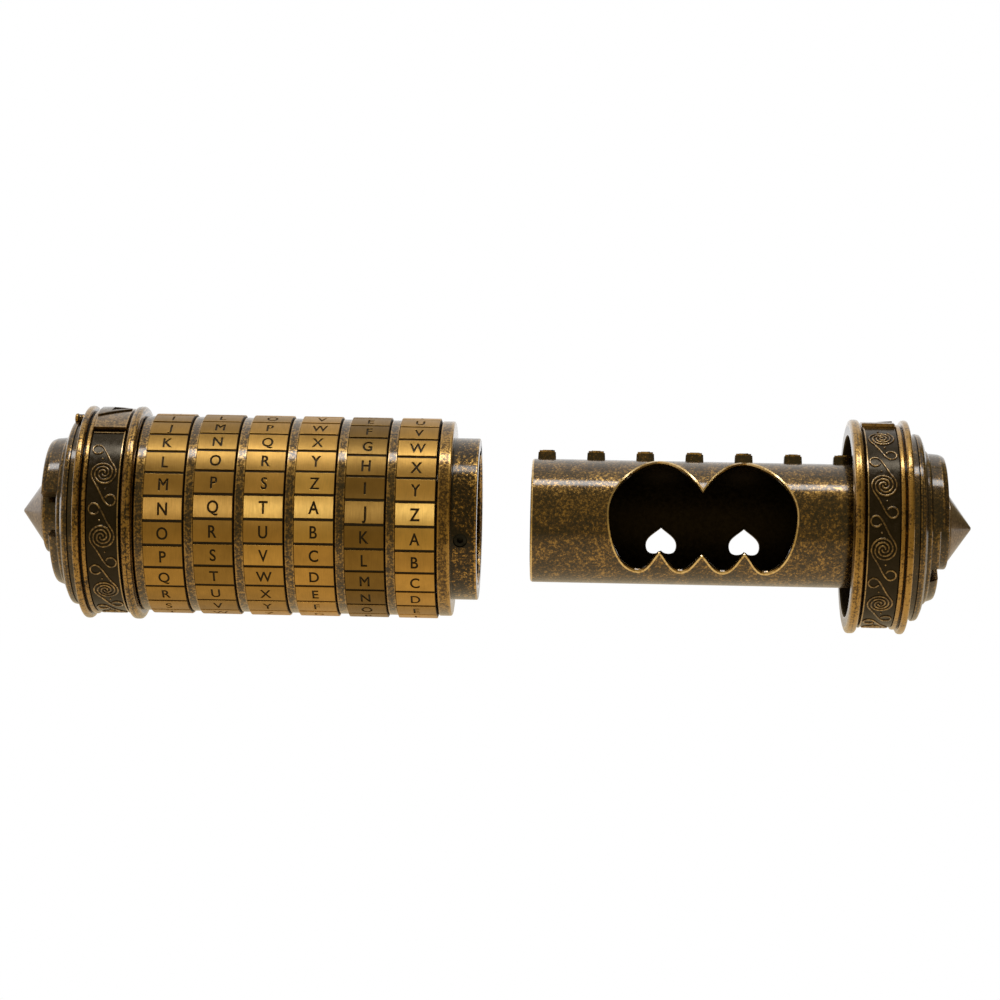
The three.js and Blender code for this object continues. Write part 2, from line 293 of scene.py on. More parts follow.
def blackened(name, colour, rough, metallic=0.85):
    """Black filler and blackened bronze, with a little dust in it."""
    material, nodes, links = new_material(name)
    shader = nodes["Principled BSDF"]
    shader.inputs["Metallic"].default_value = metallic
    shader.inputs["Specular Tint"].default_value = (1.0, 0.85, 0.62, 1.0)
    shader.inputs["Specular IOR Level"].default_value = 0.36
    place = node(nodes, "ShaderNodeTexCoord").outputs["Object"]
    grain = noise(nodes, links, place, 900, 4.0, 0.6)
    light = tuple(min(1.0, 2.1 * c + 0.004) for c in colour)
    shade = ramp(nodes, links, grain, [(0.38, colour), (0.68, light)])
    links.new(shade, shader.inputs["Base Color"])
    polish = ramp(nodes, links, grain, [(0.35, rough), (0.65, rough + 0.12)])
    links.new(polish, shader.inputs["Roughness"])
    links.new(bump(nodes, links, grain, 0.2, 0.00004), shader.inputs["Normal"])
    return material


CAST = cast_bronze(
    "cast_bronze",
    (0.020, 0.010, 0.002),
    (0.115, 0.060, 0.012),
    (0.45, 0.270, 0.070),
)
CAP = cast_bronze(
    "cap_bronze",
    (0.022, 0.011, 0.003),
    (0.078, 0.042, 0.011),
    (0.34, 0.205, 0.060),
    balance=0.53,
    blotch=0.9,
)
DARK_RIM = cast_bronze(
    "dark_rim_bronze",
    (0.020, 0.010, 0.003),
    (0.085, 0.046, 0.012),
    (0.44, 0.26, 0.068),
    balance=0.51,
    blotch=0.9,
    rough=(0.38, 0.27),
    gloss=1.5,
)
RIM = cast_bronze(
    "rim_bronze",
    (0.045, 0.023, 0.007),
    (0.185, 0.103, 0.024),
    (0.50, 0.30, 0.080),
    balance=0.48,
    blotch=0.9,
    rough=(0.38, 0.27),
    gloss=1.5,
)
COLLAR = cast_bronze(
    "collar_bronze",
    (0.010, 0.005, 0.001),
    (0.080, 0.042, 0.009),
    (0.60, 0.355, 0.085),
    balance=0.51,
    gloss=1.5,
)
# The window bevels: rubbed bronze whose paler, brighter colours are partly a painted highlight.
RUBBED_EDGE_WITH_HIGHLIGHT = cast_bronze(
    "rubbed_edge",
    (0.40, 0.25, 0.085),
    (0.72, 0.48, 0.18),
    (0.92, 0.70, 0.36),
    balance=0.42,
    rough=(0.34, 0.24),
)
SATIN = cast_bronze(
    "satin_cone",
    (0.15, 0.094, 0.045),
    (0.23, 0.150, 0.078),
    (0.33, 0.225, 0.120),
    balance=0.5,
    rough=(0.42, 0.36),
)
PLATE = cast_bronze(
    "index_plate_bronze",
    (0.06, 0.035, 0.012),
    (0.21, 0.125, 0.045),
    (0.46, 0.29, 0.11),
    balance=0.48,
    rough=(0.40, 0.28),
)
SCROLL = cast_bronze(
    "scroll_bronze",
    (0.055, 0.030, 0.010),
    (0.200, 0.120, 0.040),
    (0.46, 0.31, 0.13),
    balance=0.47,
    rough=(0.36, 0.27),
)
PANEL = brushed_panel()
BLACK = blackened("black_filler", (0.014, 0.009, 0.004), 0.5, 0.0)
BAND_BLACK = blackened("blackened_band", (0.007, 0.0045, 0.003), 0.17, 0.0)
INSIDE = blackened("dark_bore", (0.014, 0.010, 0.005), 0.40)
STEEL = blackened("black_steel", (0.020, 0.020, 0.020), 0.3, 1.0)


# ================================================================ mesh building
def add_object(name, data):
    made = bpy.data.objects.new(name, data)
    bpy.context.scene.collection.objects.link(made)
    return made


def bake(made):
    """The mesh of an object with its modifiers or its curve worked out."""
    bpy.context.view_layer.update()
    graph = bpy.context.evaluated_depsgraph_get()
    return bpy.data.meshes.new_from_object(made.evaluated_get(graph))


def finish_piece(mesh, name, materials, body, replaces=(), sharp=32):
    """Shades a mesh, names it and hangs it on its CAD body."""
    mesh.name = name
    mesh.polygons.foreach_set("use_smooth", [True] * len(mesh.polygons))
    mesh.set_sharp_from_angle(angle=math.radians(sharp))
    if "wear" not in mesh.attributes:
        wear = mesh.attributes.new("wear", "FLOAT", "POINT")
        wear.data.foreach_set("value", [0.5] * len(mesh.vertices))
    for material in materials:
        mesh.materials.append(material)
    made = add_object(name, mesh)
    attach(made, body)
    if replaces:
        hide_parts(*replaces)


def mesh_from(bm, turn_out=True):
    if turn_out:
        bmesh.ops.recalc_face_normals(bm, faces=bm.faces)
    mesh = bpy.data.meshes.new("shape")
    bm.to_mesh(mesh)
    bm.free()
    return mesh


def add_mesh(bm, mesh):
    """Adds a mesh to a bmesh, and gives back its new points and faces."""
    verts, faces = len(bm.verts), len(bm.faces)
    bm.from_mesh(mesh)
    bpy.data.meshes.remove(mesh)
    bm.verts.ensure_lookup_table()
    bm.faces.ensure_lookup_table()
    return bm.verts[verts:], bm.faces[faces:]


CORNER_STEPS = 4
EDGE_BAND = 0.28  # how far the rub of an edge reaches onto its faces


def rounded(corners, closed=True):
    """A profile of (x, r, fillet) corners as (x, r, wear) points, with its corners
    rounded. Outer corners are rubbed, inner corners stay dark."""
    area = 0
    count = len(corners)
    for i in range(count):
        x, r = corners[i][:2]
        next_x, next_r = corners[(i + 1) % count][:2]
        area += x * next_r - next_x * r
    points = []
    for i, (x, r, fillet) in enumerate(corners):
        here = Vector((x, r))
        before = Vector(corners[i - 1][:2]) - here
        after = Vector(corners[(i + 1) % count][:2]) - here
        end = not closed and i in (0, count - 1)
        if end or before.length < 1e-6 or after.length < 1e-6:
            points.append((x, r, 0.5))
            continue
        turn = before.x * after.y - before.y * after.x
        outer = turn * area < 0
        wear = 1.0 if outer else 0.0
        a, b = before.normalized(), after.normalized()
        half = math.acos(max(-1.0, min(1.0, a.dot(b)))) / 2
        if half > math.radians(84):
            wear = 0.5
        if fillet <= 0:
            reach = 0.0
        else:
            reach = min(fillet / math.tan(half), 0.48 * before.length, 0.48 * after.length)
        flat_before = before.length * 0.5 > reach + EDGE_BAND
        flat_after = after.length * 0.5 > reach + EDGE_BAND
        if flat_before:
            points.append((*(here + a * (reach + EDGE_BAND)), 0.5))
        if reach <= 0:
            points.append((x, r, wear))
        else:
            start, stop = here + a * reach, here + b * reach
            for k in range(CORNER_STEPS + 1):
                t = k / CORNER_STEPS
                spot = start.lerp(here, t).lerp(here.lerp(stop, t), t)
                points.append((*spot, wear))
        if flat_after:
            points.append((*(here + b * (reach + EDGE_BAND)), 0.5))
    return points


def lathe(points, steps=192, closed=True, start=0.0, sweep=360.0):
    """A mesh of revolution from (x, r, wear) points. A partial sweep gets end faces."""
    bm = bmesh.new()
    layer = bm.verts.layers.float.new("wear")
    whole = sweep >= 360
    turns = steps if whole else steps + 1
    rows = []
    for k in range(turns):
        angle = start + sweep * k / steps
        row = []
        for x, r, wear in points:
            if r < 1e-6 and rows:
                row.append(rows[0][len(row)])
                continue
            vert = bm.verts.new(point(x, r, angle))
            vert[layer] = wear
            row.append(vert)
        rows.append(row)
    count = len(points)
    edges = count if closed else count - 1
    for k in range(turns if whole else turns - 1):
        row, other = rows[k], rows[(k + 1) % turns]
        for i in range(edges):
            j = (i + 1) % count
            corners = []
            for vert in (row[i], row[j], other[j], other[i]):
                if vert not in corners:
                    corners.append(vert)
            if len(corners) > 2:
                bm.faces.new(corners)
    if not whole:
        bm.faces.new(rows[0])
        bm.faces.new(rows[-1])
    return mesh_from(bm)


def radial_frame(x, r, angle):
    """A matrix whose X runs along the axis, Y up round it and Z out from it."""
    a = math.radians(angle)
    out = Vector((0, -math.cos(a), math.sin(a)))
    up = Vector((0, math.sin(a), math.cos(a)))
    matrix = Matrix.Identity(4)
    matrix.col[0].xyz = (1, 0, 0)
    matrix.col[1].xyz = up
    matrix.col[2].xyz = out
    matrix.translation = point(x, r, angle)
    return matrix


def cut(target, tools):
    """Cuts closed meshes away from a target mesh and gives the new mesh back."""
    body = add_object("cut_body", target)
    helpers = []
    for tool in tools:
        helper = add_object("cut_tool", tool)
        modifier = body.modifiers.new("cut", "BOOLEAN")
        modifier.operation = "DIFFERENCE"
        modifier.solver = "EXACT"
        modifier.object = helper
        helpers.append(helper)
    result = bake(body)
    for helper in helpers + [body]:
        bpy.data.objects.remove(helper)
    return result


def block_tool(x0, x1, r0, r1, width, angle):
    bm = bmesh.new()
    bmesh.ops.create_cube(bm, size=MM)
    bm.transform(Matrix.Diagonal((x1 - x0, width, r1 - r0, 1)))
    bm.transform(radial_frame((x0 + x1) / 2, (r0 + r1) / 2, angle))
    return mesh_from(bm, turn_out=False)


def rod_tool(x, r0, r1, radius, angle, sides=40):
    bm = bmesh.new()
    bmesh.ops.create_cone(
        bm,
        cap_ends=True,
        segments=sides,
        radius1=radius * MM,
        radius2=radius * MM,
        depth=(r1 - r0) * MM,
    )
    bm.transform(radial_frame(x, (r0 + r1) / 2, angle))
    return mesh_from(bm, turn_out=False)


def flat_outline(splines, thickness, edge, keep=None, shrink=0.0):
    """A flat plate, in millimetres, from closed outlines: an outline inside another is
    a hole. Its top is at z = 0, and its top edges have a small bevel."""
    curve = keep or bpy.data.curves.new("outline", "CURVE")
    curve.dimensions = "2D"
    curve.fill_mode = "BOTH"
    for outline in splines:
        spline = curve.splines.new("POLY")
        spline.points.add(len(outline) - 1)
        for spot, (x, y) in zip(spline.points, outline):
            spot.co = (x, y, 0, 1)
        spline.use_cyclic_u = True
    curve.extrude = thickness / 2 - edge
    curve.bevel_depth = edge
    curve.bevel_resolution = 1
    curve.offset = -edge - shrink
    made = add_object("outline", curve)
    mesh = bake(made)
    bpy.data.objects.remove(made)
    mesh.transform(Matrix.Translation((0, 0, -thickness / 2)))
    bm = bmesh.new()
    bm.from_mesh(mesh)
    bmesh.ops.remove_doubles(bm, verts=bm.verts, dist=1e-4)
    bpy.data.meshes.remove(mesh)
    return bm


def wrap(bm, x, r, angle, pitch=3.0):
    """Bends a flat plate round the axis: its X stays along the axis, its Y goes round."""
    low = min(v.co.y for v in bm.verts)
    high = max(v.co.y for v in bm.verts)
    step = math.radians(pitch) * r
    for k in range(math.ceil(low / step), math.ceil(high / step)):
        bmesh.ops.bisect_plane(
            bm,
            geom=bm.verts[:] + bm.edges[:] + bm.faces[:],
            plane_co=(0, k * step, 0),
            plane_no=(0, 1, 0),
        )
    for vert in bm.verts:
        a, u, h = vert.co
        vert.co = point(x + a, r + h, angle + math.degrees(u / r))
    return bm


def bezier(start, *segments, steps=12):
    """Points along a chain of cubic curves, without the very last point."""
    points = []
    here = start
    for c1, c2, stop in segments:
        for k in range(steps):
            t = k / steps
            s = 1 - t
            weights = (s**3, 3 * s * s * t, 3 * s * t * t, t**3)
            spots = (here, c1, c2, stop)
            points.append(tuple(sum(w * p[i] for w, p in zip(weights, spots)) for i in (0, 1)))
        here = stop
    return points


# ================================================================ caps
class Side:
    """One end of the cryptex: its place, the way it faces and its angles."""

    def __init__(self, name, skirt, facing, index, body, seat_r, rim):
        self.name = name
        self.skirt = skirt
        self.facing = facing
        self.index = index
        self.body = body
        self.seat_r = seat_r
        self.rim = rim

    def x(self, out):
        """A place along the axis, from its distance outwards from the skirt edge."""
        return self.skirt + self.facing * out

    def angle(self, turn):
        """An angle about the axis, from the turn away from the index plate."""
        return self.index + self.facing * turn


SKIRT_BORE_R = 21.2
WEB_INNER = 12.0
SEAT_DEPTH = 1.3
DRUM_R = 9.7
FACE = 18.6
DRUM_TOP = 23.35
BLOCK_INNER_R = 12.6
BLOCK_BASE = 18.3
TALL_SECTOR = (-106, 62.5, 22.4)
LOW_SECTORS = [(-137, -106, 20.5), (97.5, 211, 20.5)]


def cap_profile(side):
    seat = side.seat_r
    corners = [
        (WEB_INNER + SEAT_DEPTH, 0, 0),
        (WEB_INNER + SEAT_DEPTH, seat, 0.1),
        (WEB_INNER, seat, 0.2),
        (WEB_INNER, SKIRT_BORE_R, 0.6),
        (0.0, SKIRT_BORE_R, 0.35),
        (0.0, 23.9, 0.9),
        (0.35, RIM_R + 0.05, 1.1),
        (2.3, RIM_R + 0.05, 1.0),
        (2.6, 23.4, 0.5),
        (2.95, 23.2, 0.1),
        (BAND_START, BAND_FLOOR_R, 0.05),
        (BAND_END, BAND_FLOOR_R, 0.05),
        (10.65, 24.0, 0.4),
        (11.7, 24.0, 0.4),
        (11.8, 23.0, 0.12),
        (12.05, 23.0, 0.12),
        (12.1, RIM_R + 0.05, 0.8),
        (13.55, RIM_R + 0.05, 0.65),
        (13.85, 23.4, 0.4),
        (13.9, 21.5, 0.12),
        (15.2, 21.5, 0.1),
        (15.3, 21.95, 0.25),
        (16.5, 21.75, 0.7),
        (17.15, 20.3, 0.5),
        (17.2, 18.2, 0.12),
        (18.2, 18.0, 0.4),
        (18.5, 17.6, 0.1),
        (FACE, 17.4, 0.1),
        (FACE, DRUM_R, 0.25),
        (DRUM_TOP, DRUM_R, 0.6),
        (DRUM_TOP, 0, 0),
    ]
    return [(side.x(s), r, wear) for s, r, wear in rounded(corners, closed=False)]


def add_sector(bm, side, start, stop, top):
    """A raised sector of the end face, with a rounded shoulder and rubbed ends."""
    corners = [
        (BLOCK_BASE, BLOCK_INNER_R, 0),
        (top, BLOCK_INNER_R, 0.3),
        (top, 16.7, 0.85),
        (top - 1.3, 17.2, 0.5),
        (BLOCK_BASE, 17.45, 0),
    ]
    profile = [(side.x(s), r, wear) for s, r, wear in rounded(corners)]
    sweep = (stop - start) * side.facing
    steps = max(8, int(abs(sweep) / 2))
    add_mesh(bm, lathe(profile, steps=steps, start=side.angle(start), sweep=sweep))


def build_cap(side):
    bm = bmesh.new()
    add_mesh(bm, lathe(cap_profile(side), steps=256, closed=False))
    for start, stop, top in [TALL_SECTOR, *LOW_SECTORS]:
        add_sector(bm, side, start, stop, top)
    rims = [(-0.1, BAND_START - 0.1), (BAND_END, 13.95)]
    for face in bm.faces:
        spot = face.calc_center_median() / MM
        out = (spot.x - side.skirt) * side.facing
        r = math.hypot(spot.y, spot.z - AXIS_Z)
        if r > 22.9 and any(low < out < high for low, high in rims):
            face.material_index = 1
        elif r < SKIRT_BORE_R + 0.2 and out < WEB_INNER + SEAT_DEPTH + 0.1:
            face.material_index = 2
    finish_piece(
        mesh_from(bm),
        f"{side.name}_cap_casting",
        [CAP, side.rim, INSIDE],
        side.body,
        [f"{side.name}_cap"],
    )


CONE_R = 7.95


def build_cone(side):
    corners = [
        (DRUM_TOP + 0.05, 0, 0),
        (DRUM_TOP + 0.05, CONE_R, 0.2),
        (DRUM_TOP + 0.35, CONE_R, 0.25),
        (CAP_LENGTH + 0.1, 0.25, 0.7),
        (CAP_LENGTH, 0, 0),
    ]
    profile = [(side.x(s), r, 0.5) for s, r, _ in rounded(corners, closed=False)]
    finish_piece(
        lathe(profile, steps=128, closed=False),
        f"{side.name}_cone_point",
        [SATIN],
        side.body,
        [f"{side.name}_cone"],
    )


# ================================================================ scroll bands
PLATE_HALF = 23.5
STRIP_R = 23.45
BAND_MIDDLE = 6.85
SPIRAL_COUNT = 8
SPIRAL_PITCH = 36
SPIRAL_R = 2.85
SPIRAL_STEPS = 44
ARM_TURNS = 1.5
ARM_SHRINK = 1.72
HOOK_R = 1.25
HOOK_A = 1.85
HOOK_U = 6.35
HOOK_STEPS = 12
LINE_R = 0.24
SHORT_ARM = 21  # the point where a line starts if its hook would lie under the plate
PLATE_CLEARANCE = 1.5
DOT_R = 0.27
DOT_A = 0.55
DOT_U = 3.75


def scroll_arm():
    """One raised line in band millimetres: a hook, a long diagonal, then a spiral."""
    points = []
    for k in range(HOOK_STEPS + 1):
        a = math.radians(-25 - 245 * k / HOOK_STEPS)
        points.append((-HOOK_A + HOOK_R * math.cos(a), HOOK_U + HOOK_R * math.sin(a)))
    top = points[-1]
    diagonal = bezier(
        top,
        ((-0.7, HOOK_U + 1.3), (0.1, HOOK_U - 0.9), (1.2, HOOK_U - 2.9)),
        ((2.1, HOOK_U - 4.4), (SPIRAL_R, 1.4), (SPIRAL_R, 0)),
        steps=8,
    )
    points += diagonal[1:]
    for k in range(SPIRAL_STEPS + 1):
        t = ARM_TURNS * k / SPIRAL_STEPS
        r = SPIRAL_R - ARM_SHRINK * t
        a = -2 * math.pi * t
        points.append((r * math.cos(a), r * math.sin(a)))
    return points


def add_line(curve, side, centre_angle, points, flip):
    sign = -1 if flip else 1
    spline = curve.splines.new("POLY")
    spline.points.add(len(points) - 1)
    middle = side.x(BAND_MIDDLE)
    for spot, (a, u) in zip(spline.points, points):
        angle = centre_angle + math.degrees(sign * u / STRIP_R)
        spot.co = (*point(middle + sign * a, STRIP_R + 0.05, angle), 1)


def build_scrolls(side, first_spiral):
    curve = bpy.data.curves.new(f"{side.name}_scroll_lines", "CURVE")
    curve.dimensions = "3D"
    curve.bevel_depth = LINE_R * MM
    curve.bevel_resolution = 2
    curve.use_fill_caps = True
    arm = scroll_arm()
    # The line has room from one edge of the index plate round to the other.
    high = side.index - PLATE_HALF - PLATE_CLEARANCE
    low = side.index - 360 + PLATE_HALF + PLATE_CLEARANCE
    reach = math.degrees((HOOK_U + HOOK_R) / STRIP_R)
    dots = []
    for k in range(SPIRAL_COUNT):
        centre = first_spiral - k * SPIRAL_PITCH
        for flip in (False, True):
            sign = -1 if flip else 1
            tip = centre + sign * reach
            clear = low < tip < high
            add_line(curve, side, centre, arm if clear else arm[SHORT_ARM:], flip)
            spot = centre + sign * math.degrees(DOT_U / STRIP_R)
            dots.append((side.x(BAND_MIDDLE) - sign * DOT_A, spot))
    made = add_object("lines", curve)
    bm = bmesh.new()
    add_mesh(bm, bake(made))
    bpy.data.objects.remove(made)
    for x, angle in dots:
        matrix = radial_frame(x, STRIP_R + 0.02, angle)
        bmesh.ops.create_icosphere(bm, subdivisions=2, radius=DOT_R * MM, matrix=matrix)
    finish_piece(
        mesh_from(bm),
        f"{side.name}_scrollwork",
        [SCROLL],
        side.body,
        sharp=60,
    )


def build_strip(side):
    low, high = BAND_START + 0.1, BAND_END - 0.1
    corners = [
        (low, STRIP_R - 0.45, 0),
        (low, STRIP_R + 0.25, 0.08),
        (low + 0.3, STRIP_R + 0.25, 0.08),
        (low + 0.35, STRIP_R, 0.04),
        (high, STRIP_R, 0.04),
        (high, STRIP_R - 0.45, 0),
    ]
    profile = [(side.x(s), r, wear) for s, r, wear in rounded(corners)]
    bm = bmesh.new()
    gap = 1.2
    edge = PLATE_HALF + gap
    strip = lathe(profile, steps=200, start=side.index + edge, sweep=360 - 2 * edge)
    add_mesh(bm, strip)
    for face in bm.faces:
        spot = face.calc_center_median() / MM
        r = math.hypot(spot.y, spot.z - AXIS_Z)
        face.material_index = 1 if r > STRIP_R + 0.1 else 0
    # A raised line closes the strip at each side of the index plate.
    for end in (-1, 1):
        angle = side.index + end * (PLATE_HALF + gap + 1.3)
        bar = [
            (side.x(low + 0.3), STRIP_R - 0.1, 0.5),
            (side.x(low + 0.3), STRIP_R + 0.2, 0.9),
            (side.x(high - 0.1), STRIP_R + 0.2, 0.9),
            (side.x(high - 0.1), STRIP_R - 0.1, 0.5),
        ]
        faces = add_mesh(bm, lathe(bar, steps=2, start=angle - 0.4, sweep=0.8))[1]
        for face in faces:
            face.material_index = 1
    finish_piece(
        mesh_from(bm),
        f"{side.name}_band_strip",
        [BAND_BLACK, SCROLL],
        side.body,
        [f"{side.name}_scroll_band"],
    )


# ================================================================ index plates
PLATE_R = 24.5


def build_plate(side):
    corners = [
        (BAND_START - 0.05, 23.0, 0),
        (BAND_START - 0.05, PLATE_R, 0.25),
        (BAND_END, PLATE_R, 0.25),
        (BAND_END, 23.0, 0),
    ]
    profile = [(side.x(s), r, wear) for s, r, wear in rounded(corners)]
    bm = bmesh.new()
    start = side.index - PLATE_HALF
    add_mesh(bm, lathe(profile, steps=48, start=start, sweep=2 * PLATE_HALF))
    layer = bm.verts.layers.float["wear"]
    for vert in bm.verts:
        spot = vert.co / MM
        angle = math.degrees(math.atan2(spot.z - AXIS_Z, -spot.y))
        if abs(angle - side.index) > PLATE_HALF - 0.9:
            vert[layer] = 1.0
    # The arrow points at the rings, with a sunk triangle in its head.
    way = -side.facing
    outer = [(-3.6, -5.2), (-3.6, 5.2), (3.75, 0.35), (3.75, -0.35)]
    inner = [(-0.8, -1.9), (-0.8, 2.6), (2.9, 0.25)]
    outlines = [[(way * a, u) for a, u in loop] for loop in (outer, inner)]
    arrow = flat_outline(outlines, 0.45, 0.08)
    wrap(arrow, side.x(BAND_MIDDLE), PLATE_R + 0.38, side.index + 1)
    add_mesh(bm, mesh_from(arrow, turn_out=False))
    floor = flat_outline([outlines[1]], 0.1, 0.01)
    wrap(floor, side.x(BAND_MIDDLE), PLATE_R + 0.04, side.index + 1)
    for face in add_mesh(bm, mesh_from(floor, turn_out=False))[1]:
        face.material_index = 1
    finish_piece(
        mesh_from(bm),
        f"{side.name}_index_arrow_plate",
        [PLATE, BLACK],
        side.body,
        [f"{side.name}_index_plate"],
    )


PIN_SEAT = 15.15
PIN_CENTRE_R = 22.3


def build_pin(side):
    """A dome-headed pin on the outer face, in line with the index plate."""
    corners = [
        (-2.2, 0, 0),
        (-2.2, 1.1, 0.1),
        (0.55, 1.1, 0.1),
        (0.6, 1.3, 0.15),
        (1.25, 1.25, 0.6),
        (1.6, 0, 0),
    ]
    points = rounded(corners, closed=False)
    bm = bmesh.new()
    layer = bm.verts.layers.float.new("wear")
    steps = 32
    centre = point(side.x(PIN_SEAT), PIN_CENTRE_R, side.index)
    rows = []
    for k in range(steps):
        a = 2 * math.pi * k / steps
        row = []
        for s, r, wear in points:
            place = Vector((side.facing * s, r * math.cos(a), r * math.sin(a))) * MM
            vert = bm.verts.new(centre + place)
            vert[layer] = wear
            row.append(vert)
        rows.append(row)
    for k in range(steps):
        row, other = rows[k], rows[(k + 1) % steps]
        for i in range(len(points) - 1):
            bm.faces.new((row[i], row[i + 1], other[i + 1], other[i]))
    bmesh.ops.remove_doubles(bm, verts=bm.verts, dist=1e-7)
    finish_piece(
        mesh_from(bm),
        f"{side.name}_dome_pin",
        [COLLAR],
        side.body,
        [f"{side.name}_index_pin"],
    )


# ================================================================ rings
PANEL_WIDTH = 8.95
PANEL_GAP = 0.68
PANEL_CURVE = 30.0
PANEL_THICKNESS = 0.36
PANEL_EDGE = 0.055
PANEL_TILT = 0.9
LINE_DEPTH = 0.22  # of the dark lines between the panels
LETTER_BORE_R = 20.0
LETTER_HEIGHT = 3.0
LETTER_SQUEEZE = 0.82
LETTER_BOLD = 0.05
CAP_HEIGHT = 0.729  # of the typeface, for a text size of 1
RING_TONES = [0.53, 0.45, 0.66, 0.70, 0.20, 0.68]
# How much brighter or duller than its ring a row is, counted up from the front letter: painted
# light, a painted highlight on the front rows and painted shade on the rows round the overhead
# highlight and below the front.
ROW_PAINTED_LIGHT = {
    0: 0.5,
    1: 0.12,
    2: -0.4,
    3: -0.36,
    4: -0.25,
    5: -0.3,
    -1: 0.12,
    -3: -0.1,
    -4: -0.2,
    -5: -0.2,
}
TONE_SPREAD = 0.12


def letter_plates():
    """A flat panel for each letter, with the letter cut through it."""
    height = 2 * LETTER_APOTHEM * math.tan(math.radians(STEP / 2)) - PANEL_GAP
    plates = {}
    for letter in LETTERS:
        text = bpy.data.curves.new(letter, "FONT")
        text.body = letter
        text.resolution_u = 5
        made = add_object(letter, text)
        bpy.ops.object.select_all(action="DESELECT")
        made.select_set(True)
        bpy.context.view_layer.objects.active = made
        bpy.ops.object.convert(target="CURVE")
        outlines = made.data
        spots = [p.co for s in outlines.splines for p in s.bezier_points]
        low_x, high_x = min(p.x for p in spots), max(p.x for p in spots)
        scale = LETTER_HEIGHT / CAP_HEIGHT
        slide = Matrix.Translation((-(low_x + high_x) / 2, -CAP_HEIGHT / 2, 0))
        squeeze = Matrix.Diagonal((scale * LETTER_SQUEEZE, scale, scale, 1))
        outlines.transform(squeeze @ slide)
        outlines.resolution_u = 5
        for spline in outlines.splines:
            for spot in spline.bezier_points:
                spot.radius = 1
        right = PANEL_WIDTH / 2 + LETTER_BOLD
        top = height / 2 + LETTER_BOLD
        border = [(-right, -top), (right, -top), (right, top), (-right, top)]
        copy = outlines.copy()
        bpy.data.objects.remove(made)
        plate = flat_outline(
            [border], PANEL_THICKNESS, PANEL_EDGE, keep=copy, shrink=LETTER_BOLD
        )
        # The panels are a little convex, so each catches a soft gradient.
        for k in range(-4, 5):
            bmesh.ops.bisect_plane(
                plate,
                geom=plate.verts[:] + plate.edges[:] + plate.faces[:],
                plane_co=(0, k * height / 10, 0),
                plane_no=(0, 1, 0),
            )
        for vert in plate.verts:
            vert.co.z -= vert.co.y**2 / (2 * PANEL_CURVE)
        plates[letter] = plate
    return plates


def build_letter_ring(number, plates):
    start = RING_STARTS[number]
    letter, front_angle = FRONT_LETTERS[number]
    first = LETTERS.index(letter)
    low, high = start + FLANGE_W, start + RING_LENGTH
    # The dark drum under the panels shows as the lines between them.
    drum_r = LETTER_APOTHEM - LINE_DEPTH
    corners = [
        (low + 0.05, LETTER_BORE_R, 0),
        (low + 0.05, drum_r, 0.08),
        (high, drum_r, 0.3),
        (high, LETTER_BORE_R, 0),
    ]
    bm = bmesh.new()
    tone = bm.verts.layers.float.new("tone")
    wear = bm.verts.layers.float.new("wear")
    add_mesh(bm, lathe(rounded(corners), steps=len(LETTERS) * 6, start=front_angle))
    for face in bm.faces:
        face.material_index = 1
    middle = low + 0.06 + PANEL_WIDTH / 2
    ring_tone = RING_TONES[number]
    for step in range(len(LETTERS)):
        index = (first - step) % len(LETTERS)
        angle = front_angle + step * STEP
        row = step if step <= 13 else step - len(LETTERS)
        tilt = random.uniform(-PANEL_TILT, PANEL_TILT)
        # The row's painted light or painted shade scales the ring's value.
        row_tone_with_painted_light = ring_tone * (1 + ROW_PAINTED_LIGHT.get(row, 0.0))
        panel_tone_with_painted_light = row_tone_with_painted_light + random.uniform(-TONE_SPREAD, TONE_SPREAD)
        matrix = radial_frame(middle, LETTER_APOTHEM + 0.02, angle)
        matrix = matrix @ Matrix.Rotation(math.radians(tilt), 4, "X") @ Matrix.Scale(MM, 4)
        plate = plates[LETTERS[index]].copy()
        bmesh.ops.transform(plate, matrix=matrix, verts=plate.verts)
        verts, faces = add_mesh(bm, mesh_from(plate, turn_out=False))
        for vert in verts:
            vert[tone] = panel_tone_with_painted_light
            vert[wear] = 0.5
        for face in faces:
            face.material_index = 0
    finish_piece(
        mesh_from(bm, turn_out=False),
        f"letter_panels_{number + 1}",
        [PANEL, BLACK],
        f"ring_{number + 1}",
        [f"letter_ring_{number + 1}"],
        sharp=12,
    )


HUB_R = 19.6
GROOVE_R = 17.25
GROOVE_W = 4.75
CUT_FROM_R = 14  # inside every bore that a tool cuts outwards from


def build_code_ring(number):
    start = RING_STARTS[number]
    corners = [
        (0, GROOVE_R, 0.1),
        (0, FLANGE_R, 0.28),
        (FLANGE_W, FLANGE_R, 0.22),
        (FLANGE_W, HUB_R, 0.1),
        (RING_LENGTH, HUB_R, 0.2),
        (RING_LENGTH, BARREL_BORE_R, 0.2),
        (GROOVE_W, BARREL_BORE_R, 0.1),
        (GROOVE_W, GROOVE_R, 0.1),
    ]
    profile = [(start + x, r, wear) for x, r, wear in rounded(corners)]
    body = lathe(profile, steps=156)
    # The gate that lets a lug through the lip behind the groove.
    notch = block_tool(start + 4.2, start + 14, CUT_FROM_R, 17.2, SLOT_W, LUG_ANGLE)
    finish_piece(
        cut(body, [notch]),
        f"speckled_ring_{number + 1}",
        [CAST],
        f"ring_{number + 1}",
        [f"code_ring_{number + 1}"],
    )


